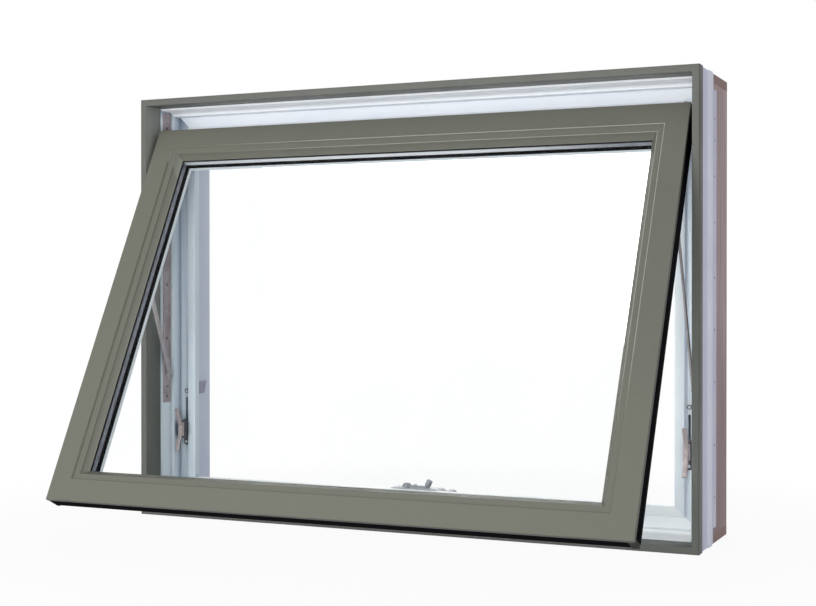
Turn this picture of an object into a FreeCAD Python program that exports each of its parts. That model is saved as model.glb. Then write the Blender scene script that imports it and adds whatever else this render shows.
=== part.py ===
import FreeCAD, Part
import math
import os

# Top hung awning window, clad outside, vinyl inside, with a wood jamb extension.
# Millimetres, +Z up, +X to the right seen from outdoors, depth runs indoors along +Y.
# The origin is under the middle of the sill, on its bearing rib.

# Outer frame
frame_width = 1220.0
frame_height = 900.0
vinyl_depth = 125.0
face_width = 14.0            # olive face of the frame
clad_wall = 2.0
clad_return = 55.0           # depth of the cladding beside the opening
clad_side = 25.0             # depth of the cladding round the outside
clad_chamfer = 1.0
channel_floor = 18.0         # inset of the hinge channel's floor from the outside
rib_depth = 37.0             # rib behind the hinge channel, measured from the frame's indoor side
rib_top = 28.0
groove_wall = 11.0           # vinyl behind the lock groove
leg_start = 52.0             # interior leg, from here
leg_end = 71.0               # to here
leg_depth = 19.0
leg_chamfer = 3.0
bearing_width = 30.0         # raised rib round the outside
bearing_back = 11.0          # its distance from the frame's indoor side
bearing_height = 1.5

# Jamb extension
board_depth = 125.0
board_thickness = 18.0
board_edge = 1.0             # eased arris on the room edge
strip_lap_frame = 9.0
strip_lap_board = 23.0
strip_thickness = 1.2
strip_end_gap = 12.0

# Sash
reveal = 10.0                # gap between frame cladding and sash all round, closed
open_angle = 27.5
top_drop = 40.0              # how far the sash's top edge comes down when it opens
sash_wall = 1.8
sash_edge = 9.0              # depth of the cladding's outer leg
sash_flat = 44.5             # width of the outermost flat of the face
outer_step = 4.5             # first step behind that flat
outer_step_run = 3.0
mid_end = 57.5               # end of the middle flat
mid_fall = 1.8               # how far the middle flat leans back
inner_step = 2.4
inner_step_run = 1.5
lip_gap = 0.5                # between the sloping lip beside the glass and the vinyl behind it
sash_sight = 69.0            # inset of the glass opening
nose_inset = 8.0             # vinyl nose behind the seal strip
nose_depth = 40.0
side_inset = 18.0            # vinyl side that carries the hinge bar
back_step = 8.0              # the sash's indoor face stands this far behind that side
back_inset = 30.0
sash_depth = 80.0
rebate_floor = 53.0
glazing_lip = 20.0           # depth of the lip that the outer gasket seats on
back_chamfer = 4.0
seal_reach = 0.6             # seal strip stands this far inside the cladding's edge
seal_gap = 0.4
seal_end_gap = 2.0
seal_ribs = 4
seal_rib_height = 1.2

# Glazing
glass_thickness = 3.0
glass_cover_gap = 2.0        # edge clearance of the glass in its rebate
outer_gasket_depth = 3.0
spacer_depth = 11.0
spacer_height = 8.0
inner_gasket_depth = 10.5
gasket_height = 9.0
bead_depth = 15.0
bead_nose = 9.0
bead_land = 6.0
mitre_gap = 0.1

# Hinges
track_gap = 3.0              # between the track and the walls of its channel
track_wall = 1.5
track_lip = 1.6
track_length = 639.0
track_top_gap = 4.0
swing_clearance = 11.9       # between the sash's inner top corner and the frame's leg as it swings
shoe_length = 70.0
shoe_thickness = 4.5
shoe_clearance = 0.3
pin_radius = 4.0
boss_radius = 6.5
arm_pivot_spacing = 229.0    # shoe pivot to arm pivot, along the sash
arm_foot_height = 298.0      # arm's lower pivot above the frame's underside
arm_width = 11.0
arm_overrun = 20.0           # the arm runs past its upper pivot
arm_thickness = 3.0
arm_clearance = 5.0
foot_plate_length = 66.0     # plate on the track that carries the arm's foot
foot_plate_thickness = 2.0
foot_plate_below = 34.0      # from the arm's pivot down to the plate's end
hinge_bar_width = 18.0
hinge_bar_thickness = 2.5
hinge_bar_overrun = 40.0

# Locks
lock_height = 178.0          # middle of the lock above the frame's underside
lock_body_length = 38.0
lock_body_width = 14.0
lock_body_stand = 24.0       # how far the body stands off the groove's floor
lock_body_chamfer = 4.0
lock_line = 44.0             # inset of the lock's middle from the outside
lock_slot_length = 105.0
lock_slot_width = 5.0
lock_slot_depth = 7.0
lock_slot_rise = 18.0        # middle of the slot above the middle of the lock
bow_length = 94.0
bow_width = 9.0
bow_thickness = 3.0
bow_flat = 16.0              # straight middle of the bow
bow_bend = 16.0              # how far its tips stand in front of its middle
bow_tip_bevel = 2.0
bow_hub_radius = 5.0
bow_hub_proud = 2.0
keeper_length = 46.0
keeper_nose = 11.5           # length of the keeper's lead-in above its middle
keeper_width = 14.0
keeper_stand = 6.0
clip_height = 264.0
clip_length = 34.0
clip_width = 28.0
clip_stand = 4.0
clip_wall = 1.5
clip_from_edge = 17.0
clip_tongue = 10.0           # free end of the clip's spring
clip_bend = 5.0              # run of the bend between tongue and base
clip_taper = 10.0            # the base is this much shorter at its lower end

# Operator
operator_offset = 0.0        # from the middle of the window
case_width = 150.0
case_clearance = 0.3
case_ear = 16.0
pin_proud = 1.0              # the ears' pins stand this far over the arms
arm_root_spacing = 70.0
arm_tip_spacing = 430.0
rod_width = 16.0
rod_thickness = 4.0
rod_height = 41.0
rod_clearance = 0.5
sash_track_length = 520.0
sash_track_height = 24.0
sash_track_depth = 8.0
sash_track_wall = 2.0
sash_track_inset = 34.0
slider_length = 30.0
cover_width = 122.0
cover_shift = 16.0           # middle of the cover, to the left of the operator's
cover_depth = 42.0
cover_height = 54.0
cover_shoulder = 10.0        # how far the crown stands over the cover's ends
cover_round = 24.0           # length of the rounded ends
cover_tail = 20.0            # smaller hump beside the crown
cover_tail_drop = 2.0
cover_room_round = 14.0      # rounding of the crown towards the room
hub_radius = 10.0
hub_height = 9.0
hub_bevel = 4.0
hub_from_end = 39.5
crank_reach = 46.0
crank_width = 12.0
crank_thickness = 4.0
knob_radius = 6.5
knob_length = 15.5
knob_bevel = 1.5
knob_lean = 27.0

cut_over = 1.0               # how far a cutting shape runs past what it cuts

# Sizes that follow
total_depth = vinyl_depth + board_depth
rib_front = vinyl_depth - rib_depth
groove_floor = vinyl_depth - groove_wall
leg_front = vinyl_depth - leg_depth
bearing_end = vinyl_depth - bearing_back
bearing_start = bearing_end - bearing_width
lock_body_front = groove_floor - lock_body_stand
origin_depth = (bearing_start + bearing_end) / 2
sash_width = frame_width - 2 * (face_width + reveal)
sash_height = frame_height - 2 * (face_width + reveal)
sash_side = face_width + reveal
mid_face = outer_step + mid_fall
inner_face = mid_face + inner_step
inner_start = mid_end + inner_step_run
slope = math.radians(open_angle)
track_centre = (clad_return + rib_front) / 2
track_width = rib_front - clad_return - 2 * track_gap
side_depth = sash_depth - back_step
pivot_behind_face = side_depth - hinge_bar_width / 2
corner_reach = (sash_depth - pivot_behind_face) * math.cos(slope)
corner_swing = leg_front - swing_clearance - track_centre - corner_reach
pivot_below_top = corner_swing / math.sin(slope) + back_inset
track_face = channel_floor + track_wall
shoe_face = track_face + shoe_clearance + shoe_thickness
arm_face = track_face + track_lip + arm_clearance
bar_face = sash_side + side_inset - hinge_bar_thickness
glass_edge = rebate_floor + glass_cover_gap
outer_glass = glazing_lip + outer_gasket_depth
spacer_start = outer_glass + glass_thickness
inner_glass = spacer_start + spacer_depth
inner_gasket_start = inner_glass + glass_thickness
bead_start = inner_gasket_start + inner_gasket_depth

SIDES = {"head": "top", "sill": "bottom", "left": "left", "right": "right"}


def vec(x, depth, z):
    """Point of the frame, from the width, the depth behind the outer face and the height."""
    return FreeCAD.Vector(x, depth - origin_depth, z)


def face_of(points):
    """Flat face through corner points."""
    return Part.Face(Part.makePolygon(points + points[:1]))


def ring_side(profile, side, width, height, gap=0.0):
    """One mitred side of a ring. The profile is (inset from the ring's outside, depth)."""
    length = width if side in ("top", "bottom") else height

    def place(inset, depth, along):
        if side == "bottom":
            return FreeCAD.Vector(along - width / 2, depth, inset)
        if side == "top":
            return FreeCAD.Vector(along - width / 2, depth, height - inset)
        if side == "left":
            return FreeCAD.Vector(inset - width / 2, depth, along)
        return FreeCAD.Vector(width / 2 - inset, depth, along)

    bar = face_of([place(i, d, 0) for i, d in profile]).extrude(place(0, 0, length) - place(0, 0, 0))
    low = min(d for _, d in profile) - cut_over
    high = max(d for _, d in profile) + cut_over
    deep = max(i for i, _ in profile) + cut_over
    mitre = face_of([place(-cut_over, low, gap - cut_over), place(-cut_over, low, length - gap + cut_over),
                     place(deep, low, length - gap - deep), place(deep, low, gap + deep)])
    return bar.common(mitre.extrude(FreeCAD.Vector(0, high - low, 0))).Solids[0]


def in_frame(shape):
    """Moves a shape drawn from the outer face at depth 0 into the window's frame."""
    shape.Placement = FreeCAD.Placement(vec(0, 0, 0), FreeCAD.Rotation())
    return shape


def in_sash(shape):
    """Moves a shape drawn on the sash, standing at height 0 with its face at depth 0, to its open place."""
    top = frame_height - face_width - reveal - top_drop
    swing = pivot_below_top * math.sin(slope) - pivot_behind_face * math.cos(slope)
    foot = vec(0, track_centre + swing - sash_height * math.sin(slope), top - sash_height * math.cos(slope))
    shape.Placement = FreeCAD.Placement(foot, FreeCAD.Rotation(FreeCAD.Vector(1, 0, 0), -open_angle))
    return shape


def on_sash(x, behind, below):
    """Point of the window at a depth behind the sash's face and a distance below its top edge."""
    marker = in_sash(Part.Vertex(x, behind, sash_height - below))
    return marker.Point


def block(x0, x1, d0, d1, z0, z1):
    """Box between two corners, in width, depth and height."""
    return Part.makeBox(x1 - x0, d1 - d0, z1 - z0, vec(x0, d0, z0))


def mirrored(shape):
    """The same piece on the other jamb."""
    return shape.mirror(FreeCAD.Vector(0, 0, 0), FreeCAD.Vector(1, 0, 0))


def link(start, end, up, width, thickness):
    """Flat bar with round ends between two pivots. It rises from them along up."""
    run = end - start
    along = FreeCAD.Vector(run).normalize()
    across = FreeCAD.Vector(up).cross(along).normalize()
    rise = along.cross(across).normalize()
    half = across * (width / 2)
    tip = along * (width / 2)
    edges = [Part.LineSegment(start + half, end + half).toShape(),
             Part.Arc(end + half, end + tip, end - half).toShape(),
             Part.LineSegment(end - half, start - half).toShape(),
             Part.Arc(start - half, start - tip, start + half).toShape()]
    return Part.Face(Part.Wire(edges)).extrude(rise * thickness)


def stud(base, direction, radius, length):
    """Round stud from a point along a direction."""
    return Part.makeCylinder(radius, length, base, direction)


def export(name, shape):
    shape.exportStep("parts/" + name + ".step")


def export_pair(name, left):
    """A piece of the left jamb and its mirror image on the right one."""
    export(name + "_left", left)
    export(name + "_right", mirrored(left))


def frame_profiles():
    cladding = [(clad_chamfer, 0), (face_width - clad_chamfer, 0), (face_width, clad_chamfer),
                (face_width, clad_return), (face_width - clad_wall, clad_return),
                (face_width - clad_wall, clad_wall), (clad_wall, clad_wall), (clad_wall, clad_side),
                (0, clad_side), (0, clad_chamfer)]
    vinyl = [(clad_wall, clad_wall), (face_width - clad_wall, clad_wall),
             (face_width - clad_wall, clad_return), (channel_floor, clad_return),
             (channel_floor, rib_front), (rib_top, rib_front), (rib_top, groove_floor),
             (leg_start, groove_floor), (leg_start, leg_front), (leg_end, leg_front),
             (leg_end, vinyl_depth - leg_chamfer), (leg_end - leg_chamfer, vinyl_depth),
             (bearing_height, vinyl_depth), (bearing_height, bearing_end), (0, bearing_end),
             (0, bearing_start), (bearing_height, bearing_start), (bearing_height, clad_side),
             (clad_wall, clad_side)]
    return cladding, vinyl


def lock_slot(turn):
    """Slot in the floor of a jamb's lock groove, for the bar that works the lock."""
    x = turn * (frame_width / 2 - lock_line)
    middle = lock_height + lock_slot_rise
    reach = (lock_slot_length - lock_slot_width) / 2
    return link(vec(x, groove_floor, middle - reach), vec(x, groove_floor, middle + reach),
                FreeCAD.Vector(0, 1, 0), lock_slot_width, lock_slot_depth)


def make_frame():
    cladding, vinyl = frame_profiles()
    for name, side in SIDES.items():
        label = name + "_jamb" if name in ("left", "right") else name
        export("cladding_" + name, in_frame(ring_side(cladding, side, frame_width, frame_height)))
        member = in_frame(ring_side(vinyl, side, frame_width, frame_height))
        if name in ("left", "right"):
            member = member.cut(lock_slot(-1 if name == "left" else 1))
        export("frame_" + label, member)


def make_boards():
    half = frame_width / 2 - bearing_height
    low = bearing_height
    inner = low + board_thickness
    room = total_depth - board_edge

    section = [(low, vinyl_depth), (inner, vinyl_depth), (inner, room), (inner - board_edge, total_depth),
               (low, total_depth)]

    def board(inside):
        return face_of([vec(-half, d, inside(t)) for t, d in section]).extrude(FreeCAD.Vector(2 * half, 0, 0))

    export("extension_sill", board(lambda t: t))
    export("extension_head", board(lambda t: frame_height - t))
    upright = face_of([vec(t - frame_width / 2, d, inner) for t, d in section])
    export_pair("extension", upright.extrude(FreeCAD.Vector(0, 0, frame_height - 2 * inner)))
    outside = -frame_width / 2 + bearing_height
    strip = block(outside - strip_thickness, outside,
                  vinyl_depth - strip_lap_frame, vinyl_depth + strip_lap_board,
                  inner + strip_end_gap, frame_height - inner - strip_end_gap)
    export("fixing_strips", Part.Compound([strip, mirrored(strip)]))


def sash_cladding_profile():
    """Face of the sash: a wide flat, two steps back towards the glass and a sloping lip beside it."""
    face = [(sash_flat, 0), (sash_flat + outer_step_run, outer_step), (mid_end, mid_face),
            (inner_start, inner_face)]
    behind = [(inset - sash_wall / 2, depth + sash_wall) for inset, depth in reversed(face)]
    return ([(clad_chamfer, 0)] + face
            + [(sash_sight, glazing_lip), (sash_sight - sash_wall, glazing_lip)]
            + behind
            + [(sash_wall, sash_wall), (sash_wall, sash_edge), (0, sash_edge), (0, clad_chamfer)])


def seal_profile():
    """Ribbed strip round the edge of the sash."""
    start = sash_edge + seal_gap
    pitch = (nose_depth - start) / seal_ribs
    foot = seal_reach + seal_rib_height
    ribs = []
    for count in range(seal_ribs):
        ribs.append((foot, nose_depth - count * pitch))
        ribs.append((seal_reach, nose_depth - (count + 0.5) * pitch))
    return [(nose_inset, start), (nose_inset, nose_depth)] + ribs + [(foot, start)]


def make_sash():
    front = inner_face + sash_wall + lip_gap
    vinyl = [(nose_inset, front), (inner_start - sash_wall / 2, front),
             (sash_sight - sash_wall - lip_gap, glazing_lip),
             (rebate_floor, glazing_lip), (rebate_floor, sash_depth - back_chamfer),
             (rebate_floor - back_chamfer, sash_depth), (back_inset, sash_depth), (back_inset, side_depth),
             (side_inset, side_depth), (side_inset, nose_depth), (nose_inset, nose_depth)]
    names = {"top": "top_rail", "bottom": "bottom_rail", "left": "left_stile", "right": "right_stile"}
    cladding = sash_cladding_profile()
    for side, name in names.items():
        export("sash_" + name, in_sash(ring_side(vinyl, side, sash_width, sash_height)))
        export("sash_cladding_" + side, in_sash(ring_side(cladding, side, sash_width, sash_height)))
    seal = seal_profile()
    strips = [in_sash(ring_side(seal, side, sash_width, sash_height, seal_end_gap)) for side in names]
    export("sash_seal", Part.Compound(strips))


def sash_plate(inset, start, depth):
    """Plate of glass across the sash."""
    plate = Part.makeBox(sash_width - 2 * inset, depth, sash_height - 2 * inset,
                         FreeCAD.Vector(inset - sash_width / 2, start, inset))
    return in_sash(plate)


def sash_ring(outer, inner, start, depth):
    """Square ring round the glass, between two insets from the sash's edge."""
    whole = Part.makeBox(sash_width - 2 * outer, depth, sash_height - 2 * outer,
                         FreeCAD.Vector(outer - sash_width / 2, start, outer))
    hole = Part.makeBox(sash_width - 2 * inner, depth, sash_height - 2 * inner,
                        FreeCAD.Vector(inner - sash_width / 2, start, inner))
    return in_sash(whole.cut(hole))


def make_glazing():
    export("outer_pane", sash_plate(glass_edge, outer_glass, glass_thickness))
    export("inner_pane", sash_plate(glass_edge, inner_glass, glass_thickness))
    gasket_edge = sash_sight - gasket_height
    export("outer_gasket", sash_ring(gasket_edge, sash_sight, glazing_lip, outer_gasket_depth))
    export("spacer", sash_ring(sash_sight - spacer_height, sash_sight, spacer_start, spacer_depth))
    export("inner_gasket", sash_ring(gasket_edge, sash_sight, inner_gasket_start, inner_gasket_depth))
    end = bead_start + bead_depth
    bead = [(rebate_floor, bead_start), (sash_sight, bead_start), (sash_sight, bead_start + bead_nose),
            (rebate_floor + bead_land, end), (rebate_floor, end)]
    sides = [in_sash(ring_side(bead, side, sash_width, sash_height, mitre_gap))
             for side in ("top", "bottom", "left", "right")]
    export("glazing_beads", Part.Compound(sides))


def make_hinges():
    left = -frame_width / 2
    out = FreeCAD.Vector(1, 0, 0)
    d0 = track_centre - track_width / 2
    d1 = track_centre + track_width / 2
    top = frame_height - channel_floor - track_top_gap
    lip = track_face + track_lip
    section = [(channel_floor, d0), (channel_floor, d1), (lip, d1), (lip, d1 - track_wall),
               (track_face, d1 - track_wall), (track_face, d0 + track_wall), (lip, d0 + track_wall),
               (lip, d0)]
    track = face_of([vec(left + t, d, top - track_length) for t, d in section])
    track = track.extrude(FreeCAD.Vector(0, 0, track_length))
    plate_low = arm_foot_height - foot_plate_below
    plate = block(left + track_face, left + track_face + foot_plate_thickness,
                  d0 + track_wall, d1 - track_wall, plate_low, plate_low + foot_plate_length)
    export_pair("hinge_track", track.fuse(plate).removeSplitter())

    pivot = on_sash(0, pivot_behind_face, pivot_below_top)
    shoe_pin = FreeCAD.Vector(left + track_face + shoe_clearance, pivot.y, pivot.z)
    shoe_width = track_width - 2 * (track_wall + shoe_clearance)
    reach = FreeCAD.Vector(0, 0, (shoe_length - shoe_width) / 2)
    shoe = link(shoe_pin - reach, shoe_pin + reach, out, shoe_width, shoe_thickness)
    pin = stud(shoe_pin, out, pin_radius, left + bar_face - shoe_pin.x)
    export_pair("hinge_shoe", shoe.fuse(pin).removeSplitter())

    bar_x = left + bar_face
    upper = on_sash(bar_x, pivot_behind_face, pivot_below_top - hinge_bar_overrun)
    lower = on_sash(bar_x, pivot_behind_face, pivot_below_top + arm_pivot_spacing + hinge_bar_overrun)
    export_pair("sash_hinge_bar", link(upper, lower, out, hinge_bar_width, hinge_bar_thickness))

    joint = on_sash(0, pivot_behind_face, pivot_below_top + arm_pivot_spacing)
    foot = vec(left + arm_face, track_centre, arm_foot_height)
    tip = FreeCAD.Vector(left + arm_face, joint.y, joint.z)
    past = (tip - foot).normalize() * arm_overrun
    arm = link(foot, tip + past, out, arm_width, arm_thickness)
    foot_pin = stud(foot, out * -1, boss_radius, arm_face - track_face - foot_plate_thickness)
    tip_pin = stud(tip, out, pin_radius, left + bar_face - tip.x)
    export_pair("stay_arm", arm.fuse([foot_pin, tip_pin]).removeSplitter())


def make_locks():
    left = -frame_width / 2
    forward = FreeCAD.Vector(0, -1, 0)
    half = lock_body_length / 2
    cut = lock_body_chamfer
    outline = [(groove_floor, -half), (lock_body_front + cut, -half), (lock_body_front, cut - half),
               (lock_body_front, half - cut), (lock_body_front + cut, half), (groove_floor, half)]
    low_side = left + lock_line - lock_body_width / 2
    body = face_of([vec(low_side, d, lock_height + z) for d, z in outline])
    body = body.extrude(FreeCAD.Vector(lock_body_width, 0, 0))

    side = left + lock_line - bow_width / 2
    reach = bow_length / 2
    flat = bow_flat / 2
    back = lock_body_front
    front = back - bow_thickness
    tip = front - bow_bend
    upper = [(front, flat), (tip, reach - bow_tip_bevel), (tip + bow_tip_bevel, reach),
             (back - bow_bend, reach), (back, flat)]
    lower = [(depth, -rise) for depth, rise in reversed(upper)]
    bow = face_of([vec(side, depth, lock_height + rise) for depth, rise in upper + lower])
    bow = bow.extrude(FreeCAD.Vector(bow_width, 0, 0))
    hub = stud(vec(left + lock_line, lock_body_front, lock_height), forward, bow_hub_radius,
               bow_thickness + bow_hub_proud)
    export_pair("lock", body.fuse([bow, hub]).removeSplitter())

    keeper_height = lock_height - sash_side
    edge_x = side_inset - keeper_stand - sash_width / 2
    outline = [(0, -keeper_length / 2), (keeper_stand, -keeper_length / 2), (keeper_stand, keeper_length / 2),
               (0, keeper_nose)]
    near = side_depth - keeper_width
    keeper = face_of([FreeCAD.Vector(edge_x + x, near, keeper_height + z) for x, z in outline])
    keeper = in_sash(keeper.extrude(FreeCAD.Vector(0, keeper_width, 0)))
    export("sash_keepers", Part.Compound([keeper, mirrored(keeper)]))

    board_face = left + bearing_height + board_thickness
    near = total_depth - clip_from_edge - clip_length
    clip_low = clip_height - clip_width / 2
    top = clip_stand
    under = clip_stand - clip_wall
    spring = [(0, 0), (clip_length, 0), (clip_length, clip_wall), (clip_tongue + clip_bend, clip_wall),
              (clip_tongue, top), (0, top), (0, under), (clip_tongue - clip_wall, under),
              (clip_tongue + clip_bend - 2 * clip_wall, clip_wall), (0, clip_wall)]
    clip = face_of([vec(board_face + stand, near + run, clip_low) for run, stand in spring])
    clip = clip.extrude(FreeCAD.Vector(0, 0, clip_width))
    end = near + clip_length
    wedge = face_of([vec(board_face, end - clip_taper, clip_low), vec(board_face, end, clip_low + clip_width),
                     vec(board_face, end, clip_low)])
    clip = clip.cut(wedge.extrude(FreeCAD.Vector(clip_stand, 0, 0)))
    export("screen_clips", Part.Compound([clip, mirrored(clip)]))


def tip_x(turn):
    """Where an operator arm meets the sash's track."""
    return operator_offset + turn * arm_tip_spacing / 2


def make_operator():
    middle = operator_offset
    up = FreeCAD.Vector(0, 0, 1)
    low = rib_top
    high = leg_start - case_clearance
    case = block(middle - case_width / 2, middle + case_width / 2, rib_front, groove_floor, low, high)
    root_depth = rib_front - rod_width / 2 - rod_clearance
    root_height = rod_height
    ears = []
    for turn in (-1, 1):
        x = middle + turn * arm_root_spacing / 2
        ear = link(vec(x, rib_front + case_ear, low), vec(x, root_depth, low), up, case_ear,
                   root_height - low - rod_clearance)
        ears.append(ear)
        pin_length = root_height + rod_thickness + pin_proud - low
        ears.append(stud(vec(x, root_depth, low), up, pin_radius, pin_length))
    export("operator_case", case.fuse(ears).removeSplitter())

    section = [(0, 0), (sash_track_depth, 0), (sash_track_depth, sash_track_wall),
               (sash_track_wall, sash_track_wall),
               (sash_track_wall, sash_track_height - sash_track_wall),
               (sash_track_depth, sash_track_height - sash_track_wall), (sash_track_depth, sash_track_height),
               (0, sash_track_height)]
    base = sash_track_inset - sash_track_height / 2
    outline = [FreeCAD.Vector(middle - sash_track_length / 2, sash_depth + n, base + h) for n, h in section]
    track = face_of(outline).extrude(FreeCAD.Vector(sash_track_length, 0, 0))
    export("sash_operator_track", in_sash(track))

    for label, turn in (("left", -1), ("right", 1)):
        root = vec(middle + turn * arm_root_spacing / 2, root_depth, root_height)
        seat = sash_track_wall + shoe_clearance
        tip = on_sash(tip_x(turn), sash_depth + sash_track_depth + rod_width / 2,
                      sash_height - sash_track_inset)
        rod = link(root, tip, up, rod_width, rod_thickness)
        hole = stud(root - up * cut_over, up, pin_radius + shoe_clearance, rod_thickness + 2 * cut_over)
        slider_height = sash_track_height - 2 * (sash_track_wall + shoe_clearance)
        slider = Part.makeBox(slider_length, sash_track_depth - seat + rod_width / 2, slider_height,
                              FreeCAD.Vector(tip_x(turn) - slider_length / 2, sash_depth + seat,
                                             sash_track_inset - slider_height / 2))
        export("operator_arm_" + label, rod.cut(hole).fuse(in_sash(slider)).removeSplitter())


def make_handle():
    up = FreeCAD.Vector(0, 0, 1)
    floor = bearing_height + board_thickness
    x0 = operator_offset - cover_shift - cover_width / 2
    x1 = x0 + cover_width
    x2 = x1 + cover_tail
    crown = floor + cover_height
    low = crown - cover_shoulder
    tail = crown - cover_tail_drop

    def spot(x, z):
        return vec(x, vinyl_depth, z)

    def quarter(end, inner, turn):
        """Rounded end of the cover, from its low end up to the crown."""
        bend = math.sqrt(0.5)
        middle = spot(inner + turn * cover_round * bend, low + cover_shoulder * bend)
        return Part.Arc(end, middle, spot(inner, crown)).toShape()

    edges = [Part.LineSegment(spot(x0, floor), spot(x0, low)).toShape(),
             quarter(spot(x0, low), x0 + cover_round, -1),
             Part.LineSegment(spot(x0 + cover_round, crown), spot(x1 - cover_round, crown)).toShape(),
             quarter(spot(x1, low), x1 - cover_round, 1),
             Part.Arc(spot(x1, low), spot((x1 + x2) / 2, tail), spot(x2, low)).toShape(),
             Part.LineSegment(spot(x2, low), spot(x2, floor)).toShape(),
             Part.LineSegment(spot(x2, floor), spot(x0, floor)).toShape()]
    outline = Part.Face(Part.Wire(Part.__sortEdges__(edges)))
    cover = outline.extrude(FreeCAD.Vector(0, cover_depth, 0))
    room = vinyl_depth + cover_depth
    bend = cover_room_round * (1 - math.sqrt(0.5))
    start = vec(x0, room - cover_room_round, crown)
    stop = vec(x0, room, crown - cover_room_round)
    rounded = Part.Arc(start, vec(x0, room - bend, crown - bend), stop).toShape()
    corners = Part.makePolygon([stop, vec(x0, room, floor), vec(x0, vinyl_depth, floor),
                                vec(x0, vinyl_depth, crown), start])
    side = Part.Face(Part.Wire([rounded] + corners.Edges))
    export("operator_cover", cover.common(side.extrude(FreeCAD.Vector(x2 - x0, 0, 0))))

    hub_place = vec(x0 + hub_from_end, vinyl_depth + (cover_depth - cover_room_round) / 2, crown)
    hub = stud(hub_place, up, hub_radius, hub_height)
    hub = hub.makeChamfer(hub_bevel, [e for e in hub.Edges if e.BoundBox.ZMin > crown + hub_height / 2])
    end = hub_place + FreeCAD.Vector(crank_reach, 0, 0)
    lever = link(hub_place, end, up, crank_width, crank_thickness)
    lean = math.radians(knob_lean)
    knob_way = FreeCAD.Vector(math.sin(lean), 0, math.cos(lean))
    knob = stud(end + up * (knob_radius * math.sin(lean)), knob_way, knob_radius, knob_length)
    cap = [e for e in knob.Edges if e.BoundBox.ZMin > end.z + knob_length / 2]
    export("crank_handle", hub.fuse([lever, knob.makeChamfer(knob_bevel, cap)]).removeSplitter())


os.makedirs("parts", exist_ok=True)
make_frame()
make_boards()
make_sash()
make_glazing()
make_hinges()
make_locks()
make_operator()
make_handle()
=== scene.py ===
import math
import bpy
import bmesh
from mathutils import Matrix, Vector


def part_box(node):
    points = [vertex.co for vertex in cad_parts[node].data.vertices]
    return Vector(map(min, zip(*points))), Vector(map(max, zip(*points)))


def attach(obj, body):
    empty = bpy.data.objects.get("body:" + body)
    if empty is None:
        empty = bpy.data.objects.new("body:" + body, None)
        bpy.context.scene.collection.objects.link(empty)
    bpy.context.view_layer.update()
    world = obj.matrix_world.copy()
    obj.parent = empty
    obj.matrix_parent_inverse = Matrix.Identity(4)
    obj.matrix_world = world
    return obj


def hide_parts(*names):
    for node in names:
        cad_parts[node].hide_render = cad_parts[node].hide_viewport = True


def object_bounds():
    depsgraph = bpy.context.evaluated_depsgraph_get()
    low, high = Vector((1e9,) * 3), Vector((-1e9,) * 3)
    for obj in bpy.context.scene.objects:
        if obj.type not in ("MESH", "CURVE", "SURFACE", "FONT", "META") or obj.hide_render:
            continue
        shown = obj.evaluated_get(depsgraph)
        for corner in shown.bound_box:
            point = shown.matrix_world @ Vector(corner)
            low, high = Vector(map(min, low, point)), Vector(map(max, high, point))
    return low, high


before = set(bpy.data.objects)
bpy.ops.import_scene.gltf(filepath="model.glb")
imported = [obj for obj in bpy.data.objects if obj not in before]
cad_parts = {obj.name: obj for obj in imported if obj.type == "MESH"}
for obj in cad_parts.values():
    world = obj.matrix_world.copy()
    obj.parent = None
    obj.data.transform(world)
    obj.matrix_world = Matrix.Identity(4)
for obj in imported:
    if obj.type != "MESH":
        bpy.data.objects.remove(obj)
cadLow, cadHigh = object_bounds()
print("frame loaded:", len(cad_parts), "nodes")

scene = bpy.context.scene
scene.view_settings.view_transform = "Standard"


# Small helpers

def tone(red, green, blue):
    # screen colour, 0 to 255, as the linear colour that the shaders take
    steps = [channel / 255 for channel in (red, green, blue)]
    return tuple(s / 12.92 if s <= 0.04045 else ((s + 0.055) / 1.055) ** 2.4 for s in steps) + (1.0,)


def fillSockets(tree, made, inputs):
    for key, value in inputs.items():
        if isinstance(value, bpy.types.NodeSocket):
            tree.links.new(value, made.inputs[key])
        else:
            made.inputs[key].default_value = value


def addNode(tree, kind, inputs=None, **settings):
    made = tree.nodes.new("ShaderNode" + kind)
    for key, value in settings.items():
        setattr(made, key, value)
    fillSockets(tree, made, inputs or {})
    return made


def maths(tree, operation, first, second=0.0, third=0.0):
    made = addNode(tree, "Math", {0: first, 1: second, 2: third}, operation=operation)
    return made.outputs[0]


def vectorMaths(tree, operation, first, second):
    return addNode(tree, "VectorMath", {0: first, 1: second}, operation=operation).outputs


def axesOf(tree, vector):
    return addNode(tree, "SeparateXYZ", {0: vector}).outputs


def blendColour(tree, factor, first, second, mode="MIX"):
    made = addNode(tree, "Mix", {0: factor, 6: first, 7: second}, data_type="RGBA", blend_type=mode)
    return made.outputs[2]


def ramp(tree, value, low, high, newLow=0.0, newHigh=1.0):
    made = addNode(tree, "MapRange", {0: value, 1: low, 2: high, 3: newLow, 4: newHigh}, clamp=True)
    made.interpolation_type = "SMOOTHSTEP"
    return made.outputs[0]


def spread(tree, mask, limits):
    # a mask from 0 to 1, carried over to the two limits
    return ramp(tree, mask, 0.0, 1.0, *limits)


def startMaterial(name, **shaderValues):
    material = bpy.data.materials.new(name)
    material.use_nodes = True
    tree = material.node_tree
    shader = next(n for n in tree.nodes if n.type == "BSDF_PRINCIPLED")
    for key, value in shaderValues.items():
        shader.inputs[key.replace("_", " ")].default_value = value
    return material, tree, shader


def objectPlace(tree):
    return addNode(tree, "TexCoord").outputs["Object"]


def roughen(tree, shader, height, strength, distance):
    bump = addNode(tree, "Bump", {"Height": height, "Strength": strength, "Distance": distance})
    tree.links.new(bump.outputs[0], shader.inputs["Normal"])


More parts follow.
